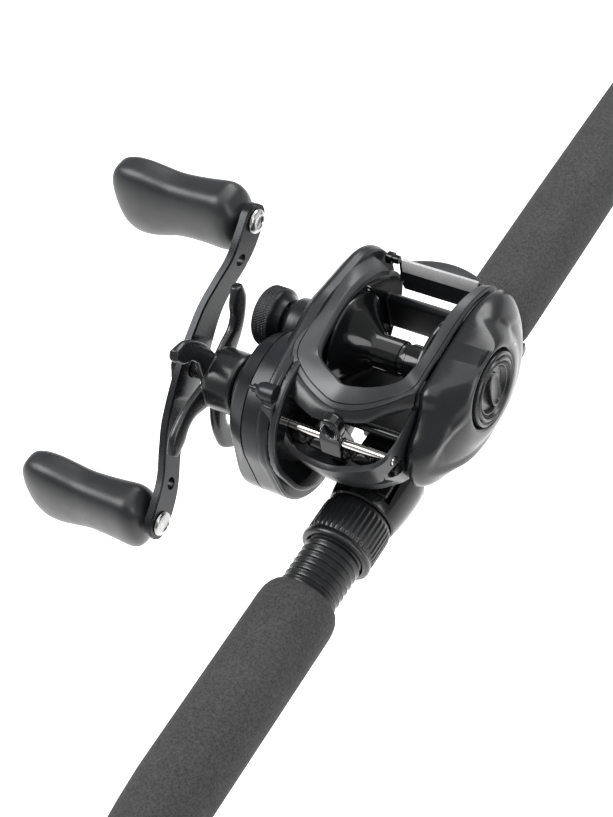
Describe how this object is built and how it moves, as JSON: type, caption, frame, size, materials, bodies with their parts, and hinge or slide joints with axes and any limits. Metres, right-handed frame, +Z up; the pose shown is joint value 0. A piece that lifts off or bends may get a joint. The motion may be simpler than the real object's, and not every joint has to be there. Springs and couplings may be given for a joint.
{
  "type": "fishing rod and reel",
  "caption": "Baitcasting rod in two sections carrying a low-profile casting reel with crank handle, star drag, level wind and thumb bar.",
  "frame": {"origin": "on the rod axis directly under the reel's spool axis, at the palm-held part of the reel seat", "axes": "+Y runs along the rod to the butt and -Y to the tip; +Z points up through the reel; +X is the palm side and -X the crank handle side, the angler's right"},
  "size_m": [0.134, 1.8296, 0.0994],
  "materials": {
    "graphite": "clear-coated graphite rod blank",
    "foam": "closed-cell EVA foam, fine speckle",
    "rubber": "soft-touch moulded rubber",
    "gloss": "polished black moulding",
    "shell": "satin black moulded composite",
    "satin": "satin grey painted moulding",
    "anodised": "dark anodised aluminium",
    "steel": "machined stainless steel",
    "chrome": "polished stainless bar",
    "brass": "machined brass",
    "carbon": "woven carbon and nylon friction material",
    "ceramic": "polished grey ceramic"
  },
  "bodies": {
    "rod": {"blank_butt": "graphite", "butt_cap": "rubber", "rear_grip": "foam", "fore_grip": "foam", "winding_check": "anodised", "hook_keeper": "chrome", "reel_seat": "gloss", "guide_1": "anodised", "guide_ring_1": "ceramic", "frame": "shell", "top_cover": "satin", "gear_side_cover": "shell", "one_way_bearing": "steel", "spool_bearing_gear": "steel", "guard_rod": "chrome"},
    "tip_section": {"blank_tip": "graphite", "tip_top": "anodised", "tip_ring": "ceramic", "guide_2": "anodised", "guide_3": "anodised", "guide_4": "anodised", "guide_5": "anodised", "guide_6": "anodised", "guide_7": "anodised", "guide_ring_2": "ceramic", "guide_ring_3": "ceramic", "guide_ring_4": "ceramic", "guide_ring_5": "ceramic", "guide_ring_6": "ceramic", "guide_ring_7": "ceramic"},
    "moving_hood": {"moving_hood": "gloss"},
    "lock_nut": {"lock_nut": "shell"},
    "crank": {"handle_arm": "anodised", "handle_nut": "steel", "drive_shaft": "steel", "clutch_sleeve": "steel", "drive_gear": "brass", "wind_drive_gear": "steel", "drag_washer": "carbon", "pressure_plate": "steel", "knob_spindle_front": "steel", "knob_spindle_rear": "steel"},
    "knob_front": {"knob_front": "rubber"},
    "knob_rear": {"knob_rear": "rubber"},
    "star_drag": {"star_drag": "anodised"},
    "spool": {"spool": "gloss", "spool_shaft": "steel", "pinion_gear": "brass"},
    "worm": {"worm_shaft": "steel", "worm_gear": "carbon"},
    "line_guide": {"line_guide": "gloss", "guide_insert": "ceramic", "pawl_cap": "anodised"},
    "thumb_bar": {"thumb_bar": "gloss"},
    "palm_plate": {"palm_side_plate": "shell", "spool_bearing_palm": "steel", "brake_ring": "brass"},
    "brake_dial": {"brake_dial": "shell"},
    "release_slide": {"release_slide": "anodised"},
    "cast_control": {"cast_control_knob": "anodised"}
  },
  "joints": [
    {"name": "tip_section_pull", "type": "slide", "parent": "rod", "child": "tip_section", "axis": [0, -1, 0], "range_m": [0, 0.07]},
    {"name": "hood_travel", "type": "slide", "parent": "rod", "child": "moving_hood", "axis": [0, -1, 0], "range_m": [0, 0.011]},
    {"name": "lock_nut_turn", "type": "hinge", "parent": "moving_hood", "child": "lock_nut", "pos_m": [0, -0.038, 0], "axis": [0, -1, 0], "range_deg": [0, 1800]},
    {"name": "crank_turn", "type": "hinge", "parent": "rod", "child": "crank", "pos_m": [-0.04, -0.0206, 0.02792], "axis": [1, 0, 0], "continuous": true},
    {"name": "knob_front_spin", "type": "hinge", "parent": "crank", "child": "knob_front", "pos_m": [-0.07, -0.05725, 0.00012], "axis": [1, 0, 0], "continuous": true},
    {"name": "knob_rear_spin", "type": "hinge", "parent": "crank", "child": "knob_rear", "pos_m": [-0.07, 0.01605, 0.05573], "axis": [1, 0, 0], "continuous": true},
    {"name": "star_drag_turn", "type": "hinge", "parent": "crank", "child": "star_drag", "pos_m": [-0.046, -0.0206, 0.02792], "axis": [1, 0, 0], "range_deg": [-180, 180]},
    {"name": "spool_spin", "type": "hinge", "parent": "rod", "child": "spool", "pos_m": [0, 0, 0.0362], "axis": [1, 0, 0], "continuous": true},
    {"name": "worm_spin", "type": "hinge", "parent": "rod", "child": "worm", "pos_m": [0, -0.0312, 0.03086], "axis": [1, 0, 0], "continuous": true},
    {"name": "line_guide_travel", "type": "slide", "parent": "rod", "child": "line_guide", "axis": [1, 0, 0], "range_m": [-0.0085, 0.0125]},
    {"name": "thumb_bar_press", "type": "slide", "parent": "rod", "child": "thumb_bar", "axis": [0, 0, -1], "range_m": [0, 0.004]},
    {"name": "palm_plate_off", "type": "slide", "parent": "rod", "child": "palm_plate", "axis": [1, 0, 0], "range_m": [0, 0.03]},
    {"name": "brake_dial_turn", "type": "hinge", "parent": "palm_plate", "child": "brake_dial", "pos_m": [0.03, 0, 0.0362], "axis": [1, 0, 0], "range_deg": [0, 270]},
    {"name": "release_slide_travel", "type": "slide", "parent": "palm_plate", "child": "release_slide", "axis": [0, 1, 0], "range_m": [0, 0.0022]},
    {"name": "cast_control_turn", "type": "hinge", "parent": "rod", "child": "cast_control", "pos_m": [-0.04, 0, 0.0362], "axis": [1, 0, 0], "range_deg": [-180, 180]}
  ],
  "couplings": [
    {"joint": "spool_spin", "follows": "crank_turn", "ratio": -6.4},
    {"joint": "worm_spin", "follows": "crank_turn", "ratio": -0.83333},
    {"joint": "lock_nut_turn", "follows": "hood_travel", "rad_per_m": 2856}
  ]
}
